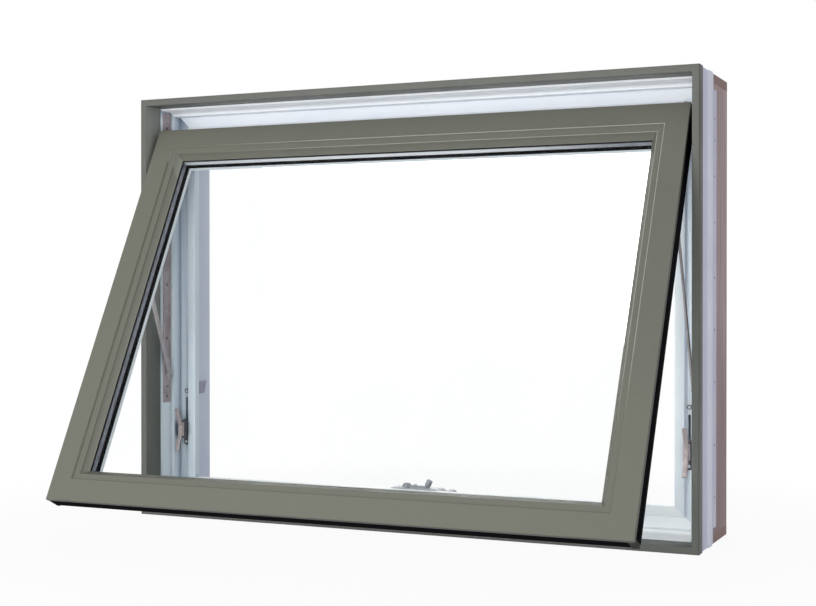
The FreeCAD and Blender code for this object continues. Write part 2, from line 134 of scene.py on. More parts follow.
def startGroup(name, inputs, outputs):
    group = bpy.data.node_groups.new(name, "ShaderNodeTree")
    for label, kind, value in inputs:
        socket = group.interface.new_socket(label, in_out="INPUT", socket_type="NodeSocket" + kind)
        if value is not None:
            socket.default_value = value
    for label, kind in outputs:
        group.interface.new_socket(label, in_out="OUTPUT", socket_type="NodeSocket" + kind)
    entry = group.nodes.new("NodeGroupInput")
    leave = group.nodes.new("NodeGroupOutput")
    return group, entry, leave


def useGroup(tree, group, inputs):
    made = tree.nodes.new("ShaderNodeGroup")
    made.node_tree = group
    fillSockets(tree, made, inputs)
    return made.outputs


# Effects that several finishes share

mottleLook = {"cloudDetail": 4.0, "cloudRoughness": 0.55, "speckDetail": 2.0, "speckScale": 22.0,
              "speckShare": 0.35, "limits": (0.36, 0.64)}


def makeMottle():
    # cloudy change of colour with finer specks over it
    look = mottleLook
    group, entry, leave = startGroup(
        "mottle",
        [("Vector", "Vector", None), ("Main", "Color", (0.5, 0.5, 0.5, 1)),
         ("Spot", "Color", (0.4, 0.4, 0.4, 1)), ("Scale", "Float", 8.0), ("Amount", "Float", 0.5)],
        [("Color", "Color"), ("Mask", "Float")])
    place = entry.outputs["Vector"]
    scale = entry.outputs["Scale"]
    cloud = addNode(group, "TexNoise", {"Vector": place, "Scale": scale, "Detail": look["cloudDetail"],
                                        "Roughness": look["cloudRoughness"]})
    fineScale = maths(group, "MULTIPLY", scale, look["speckScale"])
    speck = addNode(group, "TexNoise", {"Vector": place, "Scale": fineScale, "Detail": look["speckDetail"]})
    wide = maths(group, "MULTIPLY", cloud.outputs[0], 1 - look["speckShare"])
    both = maths(group, "MULTIPLY_ADD", speck.outputs[0], look["speckShare"], wide)
    mask = ramp(group, both, *look["limits"])
    amount = maths(group, "MULTIPLY", mask, entry.outputs["Amount"])
    colour = blendColour(group, amount, entry.outputs["Main"], entry.outputs["Spot"])
    group.links.new(colour, leave.inputs["Color"])
    group.links.new(mask, leave.inputs["Mask"])
    return group


def makeEdgeHighlight():
    # mask of arrises for painted highlights, from the difference between the rounded and the true normal
    group, entry, leave = startGroup(
        "edgeHighlight", [("Radius", "Float", 0.001), ("Sharpness", "Float", 4.0)], [("Mask", "Float")])
    soft = addNode(group, "Bevel", {"Radius": entry.outputs["Radius"]}, samples=4)
    surface = addNode(group, "NewGeometry")
    along = vectorMaths(group, "DOT_PRODUCT", soft.outputs[0], surface.outputs["True Normal"])["Value"]
    away = maths(group, "SUBTRACT", 1.0, along)
    mask = addNode(group, "Clamp", {"Value": maths(group, "MULTIPLY", away, entry.outputs["Sharpness"])})
    group.links.new(mask.outputs[0], leave.inputs["Mask"])
    return group


streakLook = {"roughness": 0.6, "limits": (0.35, 0.65)}


def makeStreaks():
    # drawn lines, saw marks or grain: noise stretched by the scale of each axis
    group, entry, leave = startGroup(
        "streaks",
        [("Vector", "Vector", None), ("Stretch", "Vector", (1.0, 1.0, 1.0)), ("Detail", "Float", 3.0)],
        [("Mask", "Float"), ("Height", "Float")])
    pulled = vectorMaths(group, "MULTIPLY", entry.outputs["Vector"], entry.outputs["Stretch"])[0]
    lines = addNode(group, "TexNoise", {"Vector": pulled, "Scale": 1.0, "Detail": entry.outputs["Detail"],
                                        "Roughness": streakLook["roughness"]})
    group.links.new(ramp(group, lines.outputs[0], *streakLook["limits"]), leave.inputs["Mask"])
    group.links.new(lines.outputs[0], leave.inputs["Height"])
    return group


mottle = makeMottle()
edgeHighlight = makeEdgeHighlight()
streaks = makeStreaks()
print("shared effects ready")

# The sash's own axes, from the outer pane
sash = {"openAngle": math.radians(27.5), "paneInset": 0.055, "paneBehind": 0.023, "paneThickness": 0.003,
        "width": 1.172, "height": 0.852}
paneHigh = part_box("outer_pane")[1]
sashUp = Vector((0, math.sin(sash["openAngle"]), math.cos(sash["openAngle"])))
sashIn = Vector((0, math.cos(sash["openAngle"]), -math.sin(sash["openAngle"])))
paneTop = Vector((0, paneHigh.y - sash["paneThickness"] * sashIn.y, paneHigh.z))
sashTop = paneTop + sashUp * sash["paneInset"] - sashIn * sash["paneBehind"]


def onSash(x, behind, below):
    # point of the sash, by its depth behind the face and its distance below the top edge
    return sashTop + sashIn * behind - sashUp * below + Vector((x, 0, 0))


# Finishes

outward = {"middleHeight": (cadLow.z + cadHigh.z) / 2, "leastReach": 0.02, "mostDepth": 0.5}


def outwardMask(tree, place):
    # 1 on faces that look away from the middle of the window
    normal = addNode(tree, "NewGeometry").outputs["True Normal"]
    flat = vectorMaths(tree, "SUBTRACT", place, (0.0, 0.0, outward["middleHeight"]))[0]
    flat = vectorMaths(tree, "MULTIPLY", flat, (1.0, 0.0, 1.0))[0]
    facing = vectorMaths(tree, "DOT_PRODUCT", flat, normal)["Value"]
    away = maths(tree, "GREATER_THAN", facing, outward["leastReach"])
    depth = maths(tree, "ABSOLUTE", axesOf(tree, normal)["Y"])
    square = maths(tree, "LESS_THAN", depth, outward["mostDepth"])
    return maths(tree, "MULTIPLY", away, square), normal


paintCoat = {"scale": 9.0, "amount": 0.6, "roughness": (0.46, 0.56), "specular": 0.3,
             "peelScale": 900.0, "peelStrength": 0.05, "peelDepth": 0.0004,
             "footHeights": (0.22, 0.42), "leftSide": (-0.5, -0.1), "recessDepths": (-0.1, -0.095),
             "squareOn": (0.6, 0.9), "revealHeights": (0.25, 0.7)}


def finishPaint(name, colours):
    # matt olive coat with a fine orange peel and another tone towards the foot and the left, with painted
    # light and shade: lighter on the upper sides of the frame's recess, darker on its lower sides, on its
    # ledges and on the faces that look outwards
    coat = paintCoat
    material, tree, shader = startMaterial(name, Specular_IOR_Level=coat["specular"])
    place = objectPlace(tree)
    cloud = useGroup(tree, mottle, {"Vector": place, "Main": colours["main"], "Spot": colours["spot"],
                                    "Scale": coat["scale"], "Amount": coat["amount"]})
    outside, normal = outwardMask(tree, place)
    facing = axesOf(tree, normal)
    where = axesOf(tree, place)
    fade = maths(tree, "MULTIPLY", ramp(tree, where["Z"], *coat["footHeights"]),
                 ramp(tree, where["X"], *coat["leftSide"]))
    colour = blendColour(tree, fade, colours["low"], cloud["Color"])
    # painted light and shade in the frame's recess: its sides lighter high up and darker low down, its
    # ledges darker
    recess = ramp(tree, where["Y"], *coat["recessDepths"])
    sideways = maths(tree, "MULTIPLY", recess, ramp(tree, facing["X"], *coat["squareOn"]))
    height = ramp(tree, where["Z"], *coat["revealHeights"])
    reveal = blendColour(tree, height, colours["deep"], colours["reveal"])
    colour = blendColour(tree, sideways, colour, reveal)
    upward = maths(tree, "MULTIPLY", recess, ramp(tree, facing["Z"], *coat["squareOn"]))
    colour = blendColour(tree, upward, colour, colours["ledgeShade"])
    # painted shade on the faces that look outwards
    colour = blendColour(tree, outside, colour, colours["outside"])
    tree.links.new(colour, shader.inputs["Base Color"])
    tree.links.new(spread(tree, cloud["Mask"], coat["roughness"]), shader.inputs["Roughness"])
    peel = addNode(tree, "TexNoise", {"Vector": place, "Scale": coat["peelScale"], "Detail": 2.0})
    roughen(tree, shader, peel.outputs[0], coat["peelStrength"], coat["peelDepth"])
    return material


vinylLook = {"scale": 7.0, "amount": 0.6, "roughness": (0.32, 0.44), "specular": 0.4,
             "stretch": (0.6, 420.0, 0.6), "lineShare": 0.22, "lineStrength": 0.06, "lineDepth": 0.0003,
             "frontDepths": (-0.05, -0.012), "hollowLimits": (0.25, 0.75)}


def finishVinyl(name, colours, tilt=0.0):
    # white extruded vinyl: faint drawn lines along the bar, with painted shade in its grooves and on its
    # outside
    look = vinylLook
    material, tree, shader = startMaterial(name, Specular_IOR_Level=look["specular"])
    place = objectPlace(tree)
    turned = addNode(tree, "Mapping", {"Vector": place, "Rotation": (tilt, 0.0, 0.0)}).outputs[0]
    cloud = useGroup(tree, mottle, {"Vector": place, "Main": colours["main"], "Spot": colours["spot"],
                                    "Scale": look["scale"], "Amount": look["amount"]})
    drawn = useGroup(tree, streaks, {"Vector": turned, "Stretch": look["stretch"], "Detail": 2.0})
    faint = maths(tree, "MULTIPLY", drawn["Mask"], look["lineShare"])
    lined = blendColour(tree, faint, cloud["Color"], colours["line"])
    outside, _ = outwardMask(tree, place)
    # painted shade on the faces that look outwards, darkest towards the front
    behind = ramp(tree, axesOf(tree, place)["Y"], *look["frontDepths"])
    sideShade = blendColour(tree, behind, colours["front"], colours["outside"])
    lined = blendColour(tree, outside, lined, sideShade, "MULTIPLY")
    # painted shade in the grooves, from ambient occlusion
    hollowShade = addNode(tree, "AmbientOcclusion", {"Distance": colours["hollowReach"]}, samples=4)
    deep = ramp(tree, hollowShade.outputs["AO"], *look["hollowLimits"], colours["hollowAmount"], 0.0)
    tree.links.new(blendColour(tree, deep, lined, colours["hollowShade"]), shader.inputs["Base Color"])
    tree.links.new(spread(tree, cloud["Mask"], look["roughness"]), shader.inputs["Roughness"])
    roughen(tree, shader, drawn["Height"], look["lineStrength"], look["lineDepth"])
    return material


boardLook = {"early": tone(192, 173, 175), "late": tone(166, 145, 146), "knot": tone(132, 110, 109),
             "end": tone(162, 137, 133), "ring": tone(134, 108, 103), "foil": tone(215, 222, 240),
             "foilSpot": tone(206, 213, 232), "specular": 0.35, "patchStretch": 0.12, "patchShare": 0.25,
             "footHeights": (0.2, 0.45), "footShare": 0.5, "ringScale": 90.0, "ringWaver": 6.0,
             "endTurn": 0.7, "foilScale": 8.0, "foilAmount": 0.5, "roughness": (0.38, 0.72),
             "grainStrength": 0.25, "grainDepth": 0.0006}


def finishBoard(name, stretch, endAxis):
    # pine board, bare on the outside and at its ends, white foil inside
    look = boardLook
    material, tree, shader = startMaterial(name, Specular_IOR_Level=look["specular"])
    place = objectPlace(tree)
    bare, normal = outwardMask(tree, place)
    grain = useGroup(tree, streaks, {"Vector": place, "Stretch": stretch, "Detail": 5.0})
    wood = blendColour(tree, grain["Mask"], look["early"], look["late"])
    patchStretch = tuple(s * look["patchStretch"] for s in stretch)
    patch = useGroup(tree, streaks, {"Vector": place, "Stretch": patchStretch, "Detail": 2.0})
    patches = maths(tree, "MULTIPLY", patch["Mask"], look["patchShare"])
    wood = blendColour(tree, patches, wood, look["knot"])
    foot = ramp(tree, axesOf(tree, place)["Z"], *look["footHeights"], look["footShare"], 0.0)
    wood = blendColour(tree, foot, wood, look["knot"])
    rings = addNode(tree, "TexWave", {"Vector": place, "Scale": look["ringScale"],
                                      "Distortion": look["ringWaver"], "Detail": 2.0},
                    wave_type="RINGS", rings_direction=endAxis)
    cross = blendColour(tree, rings.outputs["Fac"], look["end"], look["ring"])
    along = maths(tree, "ABSOLUTE", axesOf(tree, normal)[endAxis])
    wood = blendColour(tree, maths(tree, "GREATER_THAN", along, look["endTurn"]), wood, cross)
    foil = useGroup(tree, mottle, {"Vector": place, "Main": look["foil"], "Spot": look["foilSpot"],
                                   "Scale": look["foilScale"], "Amount": look["foilAmount"]})
    tree.links.new(blendColour(tree, bare, foil["Color"], wood), shader.inputs["Base Color"])
    tree.links.new(spread(tree, bare, look["roughness"]), shader.inputs["Roughness"])
    relief = maths(tree, "MULTIPLY", grain["Height"], bare)
    roughen(tree, shader, relief, look["grainStrength"], look["grainDepth"])
    return material


rubberLook = {"scale": 30.0, "amount": 0.7, "roughness": (0.75, 0.9), "specular": 0.03, "strength": 0.1,
              "depth": 0.0003}


def finishRubber(name, main, spot):
    # dull moulded rubber
    look = rubberLook
    material, tree, shader = startMaterial(name, Specular_IOR_Level=look["specular"])
    cloud = useGroup(tree, mottle, {"Vector": objectPlace(tree), "Main": main, "Spot": spot,
                                    "Scale": look["scale"], "Amount": look["amount"]})
    tree.links.new(cloud["Color"], shader.inputs["Base Color"])
    tree.links.new(spread(tree, cloud["Mask"], look["roughness"]), shader.inputs["Roughness"])
    roughen(tree, shader, cloud["Mask"], look["strength"], look["depth"])
    return material


glassLook = {"clear": tone(255, 255, 255), "tint": tone(253, 255, 254), "scale": 3.0, "amount": 0.5,
             "through": (0.96, 0.97, 0.965, 1), "bend": 1.1}


def finishGlass():
    # clear float glass that lets the lamps through
    look = glassLook
    material, tree, shader = startMaterial("clear_glass", Transmission_Weight=1.0, IOR=look["bend"],
                                           Roughness=0.0)
    tint = useGroup(tree, mottle, {"Vector": objectPlace(tree), "Main": look["clear"], "Spot": look["tint"],
                                   "Scale": look["scale"], "Amount": look["amount"]})
    tree.links.new(tint["Color"], shader.inputs["Base Color"])
    path = addNode(tree, "LightPath")
    lightWay = maths(tree, "MAXIMUM", path.outputs["Is Shadow Ray"], path.outputs["Is Diffuse Ray"])
    through = addNode(tree, "BsdfTransparent", {"Color": look["through"]})
    both = addNode(tree, "MixShader", {0: lightWay, 1: shader.outputs[0], 2: through.outputs[0]})
    leave = next(n for n in tree.nodes if n.type == "OUTPUT_MATERIAL")
    tree.links.new(both.outputs[0], leave.inputs["Surface"])
    return material


spacerLook = {"main": tone(128, 132, 144), "spot": tone(108, 112, 124), "bright": tone(236, 240, 244),
              "metallic": 0.4, "scale": 60.0, "amount": 0.9, "underTurn": (-0.8, -0.3),
              "fadeAlong": (0.15, 0.5), "farShare": 0.15, "roughness": (0.4, 0.55)}


def finishSpacer():
    # mill aluminium with a painted reflection of the floor, brighter under the top rail
    look = spacerLook
    material, tree, shader = startMaterial("spacer_metal", Metallic=look["metallic"])
    place = objectPlace(tree)
    cloud = useGroup(tree, mottle, {"Vector": place, "Main": look["main"], "Spot": look["spot"],
                                    "Scale": look["scale"], "Amount": look["amount"]})
    normal = addNode(tree, "NewGeometry").outputs["True Normal"]
    under = ramp(tree, axesOf(tree, normal)["Z"], *look["underTurn"], 1.0, 0.0)
    near = ramp(tree, axesOf(tree, place)["X"], *look["fadeAlong"], 1.0, look["farShare"])
    lit = maths(tree, "MULTIPLY", under, near)
    tree.links.new(blendColour(tree, lit, cloud["Color"], look["bright"]), shader.inputs["Base Color"])
    tree.links.new(spread(tree, cloud["Mask"], look["roughness"]), shader.inputs["Roughness"])
    return material


metalLook = {"amount": 0.9, "arrisRadius": 0.0008, "arrisSharpness": 3.0, "stretch": (500.0, 500.0, 20.0),
             "lineStrength": 0.08, "lineDepth": 0.0002}


def finishMetal(name, main, spot, arris, metallic, roughness, scale):
    # coated metal or hard plastic: drawn lines, cloudy tone and brighter arrises, which are painted
    # highlights
    look = metalLook
    material, tree, shader = startMaterial(name, Metallic=metallic)
    place = objectPlace(tree)
    cloud = useGroup(tree, mottle, {"Vector": place, "Main": tone(*main), "Spot": tone(*spot),
                                    "Scale": scale, "Amount": look["amount"]})
    # painted highlight on the arrises
    edge = useGroup(tree, edgeHighlight, {"Radius": look["arrisRadius"], "Sharpness": look["arrisSharpness"]})
    colour = blendColour(tree, edge["Mask"], cloud["Color"], tone(*arris))
    tree.links.new(colour, shader.inputs["Base Color"])
    tree.links.new(spread(tree, cloud["Mask"], roughness), shader.inputs["Roughness"])
    drawn = useGroup(tree, streaks, {"Vector": place, "Stretch": look["stretch"], "Detail": 2.0})
    roughen(tree, shader, drawn["Height"], look["lineStrength"], look["lineDepth"])
    return material


# reveal is painted light; deep, ledgeShade and outside are painted shade
paintTones = {"main": tone(106, 107, 98), "spot": tone(102, 103, 94), "reveal": tone(150, 153, 147),
              "deep": tone(90, 94, 88), "ledgeShade": tone(84, 87, 79), "low": tone(107, 108, 98),
              "outside": tone(60, 62, 58)}
# the frame's copy is darker, and darker still on its ledges: painted shade beside and under the sash
frameTones = dict(paintTones, main=tone(102, 104, 98), spot=tone(98, 100, 94), low=tone(98, 100, 95),
                  ledgeShade=tone(74, 77, 73))
# a lighter copy for the left stile's lip: painted light
lipLitTones = dict(paintTones, main=tone(127, 128, 118), spot=tone(122, 123, 113), low=tone(127, 128, 118))
# a pale copy for the arrises: painted highlights
arrisHighlightTones = dict(paintTones, main=tone(158, 159, 150), spot=tone(150, 151, 142))
# hollowShade is painted shade in the grooves; outside and front are painted shade on the outside faces
vinylTones = {"main": tone(241, 247, 252), "spot": tone(234, 241, 248), "line": tone(220, 230, 240),
              "outside": tone(241, 240, 255), "front": tone(229, 224, 240), "hollowShade": tone(190, 204, 218),
              "hollowAmount": 0.3, "hollowReach": 0.012}
# brighter copies for the sill and the head, with less shade in their grooves: painted light
sillLitTones = dict(vinylTones, main=tone(252, 255, 255), spot=tone(247, 252, 255), line=tone(240, 247, 253),
                 hollowAmount=0.1)
headLitTones = dict(vinylTones, main=tone(250, 253, 255), spot=tone(243, 249, 255), hollowAmount=0.0)
# darker, cooler copy for the left jamb with deep shade in its grooves: painted shade
shadeTones = {"main": tone(226, 236, 245), "spot": tone(218, 230, 240), "line": tone(196, 212, 228),
              "outside": tone(255, 252, 255), "front": tone(255, 252, 255), "hollowShade": tone(84, 108, 132),
              "hollowAmount": 0.95, "hollowReach": 0.028}
stripTones = {"main": tone(206, 206, 229), "spot": tone(198, 198, 221), "line": tone(190, 188, 213),
              "outside": tone(244, 244, 252), "front": tone(244, 244, 252), "hollowShade": tone(176, 180, 204),
              "hollowAmount": 0.2, "hollowReach": 0.012}
finishes = {
    "paint": finishPaint("olive_paint", paintTones),
    "framePaint": finishPaint("frame_paint", frameTones),
    "arris": finishPaint("olive_arris_highlight", arrisHighlightTones),
    "lip": finishPaint("olive_lit_lip", lipLitTones),
    "vinyl": finishVinyl("white_vinyl", vinylTones),
    "headLitVinyl": finishVinyl("head_lit_vinyl", headLitTones),
    "sillLitVinyl": finishVinyl("sill_lit_vinyl", sillLitTones),
    "shadeVinyl": finishVinyl("left_jamb_shaded_vinyl", shadeTones),
    "sashVinyl": finishVinyl("sash_vinyl", vinylTones, sash["openAngle"]),
    "strip": finishVinyl("fixing_strip", stripTones),
    "upright": finishBoard("board_upright", (60.0, 150.0, 5.0), "Z"),
    "across": finishBoard("board_across", (5.0, 150.0, 60.0), "X"),
    "rubber": finishRubber("black_rubber", tone(7, 7, 9), tone(15, 15, 18)),
    "key": finishRubber("corner_key", tone(70, 71, 65), tone(60, 61, 56)),
    "glass": finishGlass(),
    "spacer": finishSpacer(),
}
metals = {
    "steel": {"name": "hinge_steel", "main": (158, 150, 152), "spot": (126, 118, 122),
              "arris": (196, 190, 190), "metallic": 0.45, "roughness": (0.36, 0.52), "scale": 45.0},
    "track": {"name": "track_steel", "main": (186, 172, 173), "spot": (150, 138, 142),
              "arris": (210, 200, 200), "metallic": 0.3, "roughness": (0.36, 0.52), "scale": 45.0},
    "arm": {"name": "arm_steel", "main": (184, 178, 182), "spot": (158, 152, 156),
            "arris": (212, 208, 210), "metallic": 0.3, "roughness": (0.34, 0.48), "scale": 45.0},
    "lockBody": {"name": "lock_body", "main": (88, 84, 92), "spot": (52, 50, 58),
                 "arris": (136, 130, 134), "metallic": 0.3, "roughness": (0.4, 0.55), "scale": 120.0},
    "bow": {"name": "lock_bow", "main": (182, 169, 170), "spot": (158, 146, 148),
            "arris": (204, 194, 194), "metallic": 0.2, "roughness": (0.38, 0.5), "scale": 60.0},
    "slotShade": {"name": "slot_shade", "main": (44, 50, 56), "spot": (30, 34, 40),
                  "arris": (60, 66, 72), "metallic": 0.0, "roughness": (0.6, 0.75), "scale": 60.0},
    # the dark strip behind the cladding: painted shade
    "shadowGap": {"name": "shadow_gap_line", "main": (46, 47, 48), "spot": (36, 37, 39),
                "arris": (60, 61, 62), "metallic": 0.0, "roughness": (0.55, 0.7), "scale": 40.0},
    "screwCentre": {"name": "screw_centre", "main": (214, 220, 228), "spot": (192, 198, 208),
                    "arris": (226, 230, 236), "metallic": 0.0, "roughness": (0.4, 0.5), "scale": 90.0},
    "screw": {"name": "screw_steel", "main": (108, 104, 108), "spot": (70, 68, 72),
              "arris": (180, 178, 180), "metallic": 0.5, "roughness": (0.3, 0.45), "scale": 90.0},
    "nail": {"name": "nail_iron", "main": (58, 55, 62), "spot": (34, 32, 38),
             "arris": (90, 88, 94), "metallic": 0.4, "roughness": (0.4, 0.6), "scale": 120.0},
    "clip": {"name": "clip_plastic", "main": (160, 158, 181), "spot": (146, 144, 168),
             "arris": (190, 188, 206), "metallic": 0.0, "roughness": (0.4, 0.5), "scale": 60.0},
    "silver": {"name": "handle_silver", "main": (164, 167, 174), "spot": (155, 158, 166),
               "arris": (206, 209, 214), "metallic": 0.2, "roughness": (0.34, 0.46), "scale": 40.0},
}
for metalName, metal in metals.items():
    finishes[metalName] = finishMetal(**metal)

# Finish of each CAD part, by the first start of a name that fits
nodeFinish = {
    "cladding_": "framePaint", "sash_cladding_": "paint",
    "frame_left_jamb": "shadeVinyl", "frame_head": "headLitVinyl", "frame_sill": "sillLitVinyl",
    "frame_": "vinyl", "fixing_strips": "strip",
    "extension_head": "across", "extension_sill": "across", "extension_": "upright",
    "sash_top_rail": "sashVinyl", "sash_bottom_rail": "sashVinyl",
    "sash_left_stile": "sashVinyl", "sash_right_stile": "sashVinyl", "glazing_beads": "sashVinyl",
    "sash_seal": "rubber", "outer_gasket": "rubber", "inner_gasket": "rubber",
    "outer_pane": "glass", "inner_pane": "glass", "spacer": "spacer",
    "hinge_track": "track", "hinge_": "steel", "sash_hinge_bar": "steel", "stay_arm": "arm",
    "lock_": "steel", "sash_keepers": "steel", "screen_clips": "clip",
    "operator_arm": "steel", "sash_operator_track": "steel",
    "operator_case": "silver", "operator_cover": "silver", "crank_handle": "silver",
}


def finishOf(nodeName):
    return next(f for start, f in nodeFinish.items() if nodeName.startswith(start))


for nodeName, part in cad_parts.items():
    for materialSlot in part.material_slots:
        materialSlot.material = finishes[finishOf(nodeName)]
print("finishes on every part")


# Rolled and moulded edges, over the CAD parts that they stand for

def startCopy(nodeName):
    shape = bmesh.new()
    shape.from_mesh(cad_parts[nodeName].data)
    bmesh.ops.remove_doubles(shape, verts=shape.verts, dist=1e-6)
    bmesh.ops.dissolve_limit(shape, angle_limit=math.radians(0.5), verts=shape.verts, edges=shape.edges)
    return shape


def finishPiece(shape, name, finishNames, smoothAngle=40.0):
    bmesh.ops.recalc_face_normals(shape, faces=shape.faces)
    mesh = bpy.data.meshes.new(name)
    shape.to_mesh(mesh)
    shape.free()
    for face in mesh.polygons:
        face.use_smooth = True
    mesh.set_sharp_from_angle(angle=math.radians(smoothAngle))
    for finishName in finishNames:
        mesh.materials.append(finishes[finishName])
    piece = bpy.data.objects.new(name, mesh)
    scene.collection.objects.link(piece)
    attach(piece, "root")
    return piece


def roundEdges(shape, radius, segments, leastLength, leastAngle):
    # rounds the convex edges that are long and sharp enough
    chosen = [edge for edge in shape.edges
              if len(edge.link_faces) == 2 and edge.calc_length() > leastLength and edge.is_convex
              and edge.calc_face_angle() > math.radians(leastAngle)]
    bmesh.ops.bevel(shape, geom=chosen, offset=radius, segments=segments, profile=0.5, affect="EDGES",
                    clamp_overlap=True)


def makeRing(name, profile, size, place, finishNames, edges=None, tones=None):
    # mitred ring swept from a closed profile of (inset, depth); tones gives some faces another finish
    shape = bmesh.new()
    width, height = size
    rows = []
    for inset, depth in profile:
        x = width / 2 - inset
        corners = ((-x, inset), (x, inset), (x, height - inset), (-x, height - inset))
        rows.append([shape.verts.new(place(px, depth, below)) for px, below in corners])
    for k, row in enumerate(rows):
        following = rows[(k + 1) % len(rows)]
        for c, sideName in enumerate(("top", "right", "bottom", "left")):
            d = (c + 1) % len(row)
            face = shape.faces.new((row[c], row[d], following[d], following[c]))
            face.material_index = (tones or {}).get((k, sideName), 0)
    bmesh.ops.recalc_face_normals(shape, faces=shape.faces)
    if edges:
        roundEdges(shape, **edges)
    return finishPiece(shape, name, finishNames, smoothAngle=30.0)


# Stepped face of the sash: an outer flat, a middle flat and a lip that slopes down to the glass
sashFace = {"leg": 0.009, "wall": 0.0018, "chamfer": 0.001, "flat": 0.0445, "band": 0.0009,
            "arris": 0.0011, "stepRun": 0.0008, "middleEnd": 0.058, "stepDrop": 0.0036,
            "middleLean": 0.0022, "lipArris": 0.0008, "lipRun": 0.0004, "lipDrop": 0.0019,
            "sight": 0.069, "lip": 0.020}


def sashFaceProfile():
    f = sashFace
    middleDepth = f["stepDrop"] + f["middleLean"]
    lean = f["middleLean"] / (f["middleEnd"] - f["flat"])
    stepInset = f["flat"] + f["arris"]
    lipInset = f["middleEnd"] + f["lipArris"]
    lipDepth = middleDepth + f["lipArris"]
    front = [(0, f["leg"]), (0, f["chamfer"]), (f["chamfer"], 0), (f["flat"] - f["band"], 0),
             (f["flat"], 0), (stepInset, f["arris"]), (stepInset + f["stepRun"], f["stepDrop"]),
             (f["middleEnd"] - f["band"], middleDepth - f["band"] * lean), (f["middleEnd"], middleDepth),
             (lipInset, lipDepth), (lipInset + f["lipRun"], lipDepth + f["lipDrop"]),
             (f["sight"], f["lip"])]
    wall = f["wall"]
    back = [(f["sight"] - wall, f["lip"]), (f["middleEnd"] - wall, middleDepth + wall * 2),
            (f["flat"] - wall, f["stepDrop"] + wall), (f["flat"] - wall, wall), (wall, wall),
            (wall, f["leg"])]
    return front + back


# Painted highlights on the bands and arrises of the right and top sides, and painted light on the left
# side's lip, by the steps of the profile: 3 and 7 are bands, 4 and 8 arrises, 10 the lip
paintedFaceLight = {(step, "right"): 1 for step in (3, 4, 7, 8)}
paintedFaceLight.update({(step, "top"): 1 for step in (4, 8)})
paintedFaceLight[(10, "left")] = 2
sashRing = makeRing("rolled_sash_face", sashFaceProfile(), (sash["width"], sash["height"]), onSash,
                    ("paint", "arris", "lip"), tones=paintedFaceLight)
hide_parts(*["sash_cladding_" + s for s in ("top", "bottom", "left", "right")])

frameClad = {"face": 0.014, "wall": 0.002, "return": 0.055, "side": 0.025, "chamfer": 0.001,
             "edges": {"radius": 0.0003, "segments": 2, "leastLength": 0.2, "leastAngle": 40.0}}


def frameCladProfile():
    c = frameClad
    inner = c["face"] - c["wall"]
    return [(0, c["side"]), (0, c["chamfer"]), (c["chamfer"], 0), (c["face"] - c["chamfer"], 0),
            (c["face"], c["chamfer"]), (c["face"], c["return"]), (inner, c["return"]),
            (inner, c["wall"]), (c["wall"], c["wall"]), (c["wall"], c["side"])]


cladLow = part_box("cladding_sill")[0]
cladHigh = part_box("cladding_head")[1]
cladSize = (cladHigh.x - cladLow.x, cladHigh.z - cladLow.z)


def onFrame(x, depth, below):
    return Vector((x, cladLow.y + depth, cladHigh.z - below))


frameRing = makeRing("rolled_frame_face", frameCladProfile(), cladSize, onFrame, ("framePaint",),
                     edges=frameClad["edges"])
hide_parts(*["cladding_" + s for s in ("head", "sill", "left", "right")])

# Dark strip in the joint behind the cladding, round the outside: painted shade of the shadow gap
shadowGap = {"top": 0.0002, "bottom": 0.0018, "start": 0.0251, "end": 0.0295}
shadowGapProfile = [(shadowGap["top"], shadowGap["start"]), (shadowGap["top"], shadowGap["end"]),
                  (shadowGap["bottom"], shadowGap["end"]), (shadowGap["bottom"], shadowGap["start"])]
makeRing("shadow_gap_line", shadowGapProfile, cladSize, onFrame, ("shadowGap",))

softEdges = {"radius": 0.0008, "segments": 2, "leastLength": 0.2, "leastAngle": 12.0}


def softenBars(names, prefix):
    for barName in names:
        shape = startCopy(barName)
        roundEdges(shape, **softEdges)
        piece = finishPiece(shape, prefix + barName, (finishOf(barName),))
        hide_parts(barName)


softenBars(["frame_" + s for s in ("head", "sill", "left_jamb", "right_jamb")], "drawn_")
softenBars(["extension_" + s for s in ("head", "sill", "left", "right")], "planed_")
print("rolled edges on the bars")


# Fasteners, turned from shares of a radius and a height, from the foot to the crown

headShares = {
    "pan": ((1, 0), (1, 0.5), (0.85, 0.9), (0.6, 1), (0.45, 1), (0.38, 0.4), (0, 0.35)),
    "rivet": ((1, 0), (0.96, 0.4), (0.75, 0.8), (0.4, 0.97), (0, 1)),
    "washer": ((1, 0), (1, 0.6), (0.9, 1), (0.62, 1), (0.58, 0.6), (0.3, 0.75), (0, 0.8)),
    "nail": ((1, -0.8), (1, 0.6), (0.6, 1), (0, 1)),
    "knob": ((0.86, 0), (1, 0.12), (1, 0.8), (0.9, 0.92), (0.66, 0.98), (0, 1)),
}


def headProfile(kind, radius, height):
    return [(radius * across, height * up) for across, up in headShares[kind]]


def addTurned(shape, profile, place, axis, sides=16, paleFrom=None):
    # turned form on the axis; from the step paleFrom on, its faces take the second finish
    turn = Vector(axis).to_track_quat("Z", "Y").to_matrix()
    rings = []
    for radius, height in profile:
        count = sides if radius else 1
        angles = [2 * math.pi * k / sides for k in range(count)]
        points = [Vector((radius * math.cos(a), radius * math.sin(a), height)) for a in angles]
        rings.append([shape.verts.new(Vector(place) + turn @ point) for point in points])
    for step, (low, high) in enumerate(zip(rings, rings[1:])):
        for k in range(sides):
            nextK = (k + 1) % sides
            crown = (high[0],) if len(high) == 1 else (high[nextK], high[k])
            face = shape.faces.new((low[k], low[nextK]) + crown)
            face.material_index = 1 if paleFrom is not None and step >= paleFrom else 0
    shape.faces.new(list(reversed(rings[0])))


def addFasteners(name, places, profile, finishNames, slotName, **turned):
    shape = bmesh.new()
    for place, axis in places:
        addTurned(shape, profile, place, axis, **turned)
    finishPiece(shape, name, finishNames)


